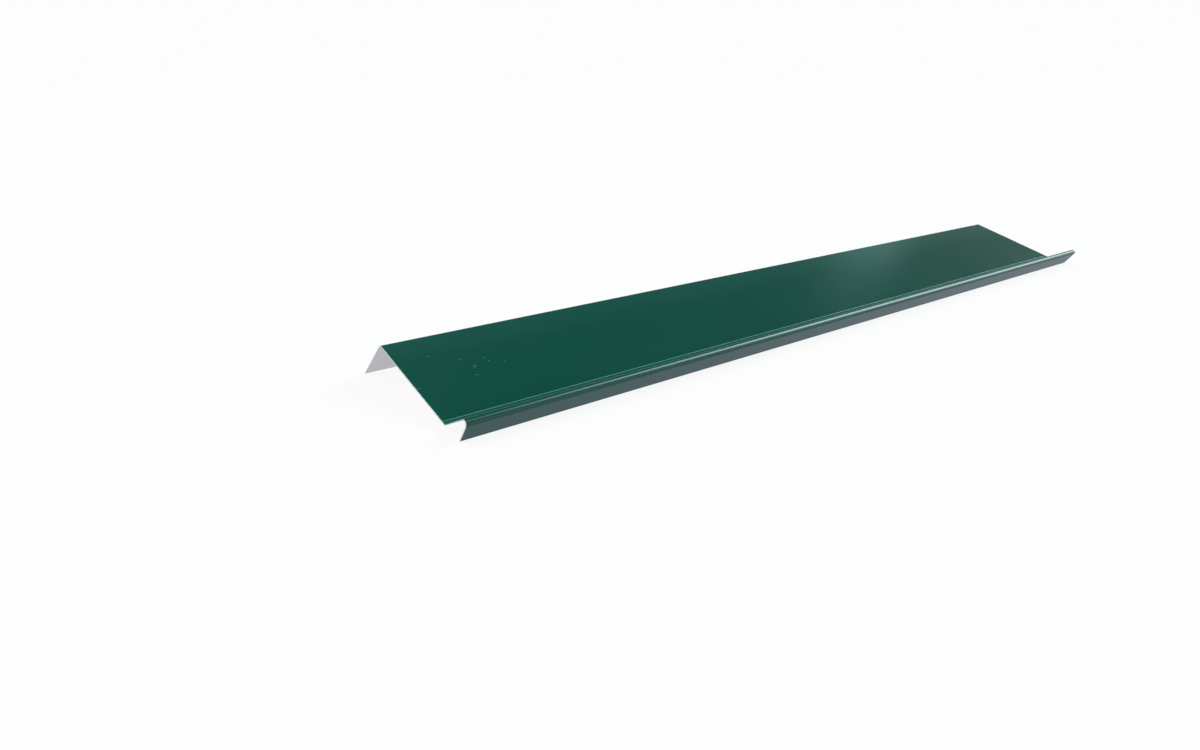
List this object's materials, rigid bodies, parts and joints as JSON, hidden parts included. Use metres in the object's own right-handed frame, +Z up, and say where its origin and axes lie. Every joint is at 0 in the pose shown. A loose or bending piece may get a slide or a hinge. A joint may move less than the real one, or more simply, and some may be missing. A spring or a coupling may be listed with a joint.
{
  "type": "wall abutment flashing",
  "caption": "Long strip of folded colour-coated steel: a back leg, a broad sloping face and a kicked-up drip nose with a return lip, to close a roof against a wall.",
  "frame": {"origin": "middle of the footprint, on the floor that the part lies on", "axes": "+X along the length, +Y to the back leg, -Y to the drip nose, +Z up"},
  "size_m": [1.05, 0.203, 0.0403],
  "materials": {
    "green_coat": "satin dark green colour coat on galvanised steel sheet, light grey primer on the back, bare cut edges"
  },
  "bodies": {
    "root": {"abutment_flashing": "green_coat"}
  },
  "joints": []
}
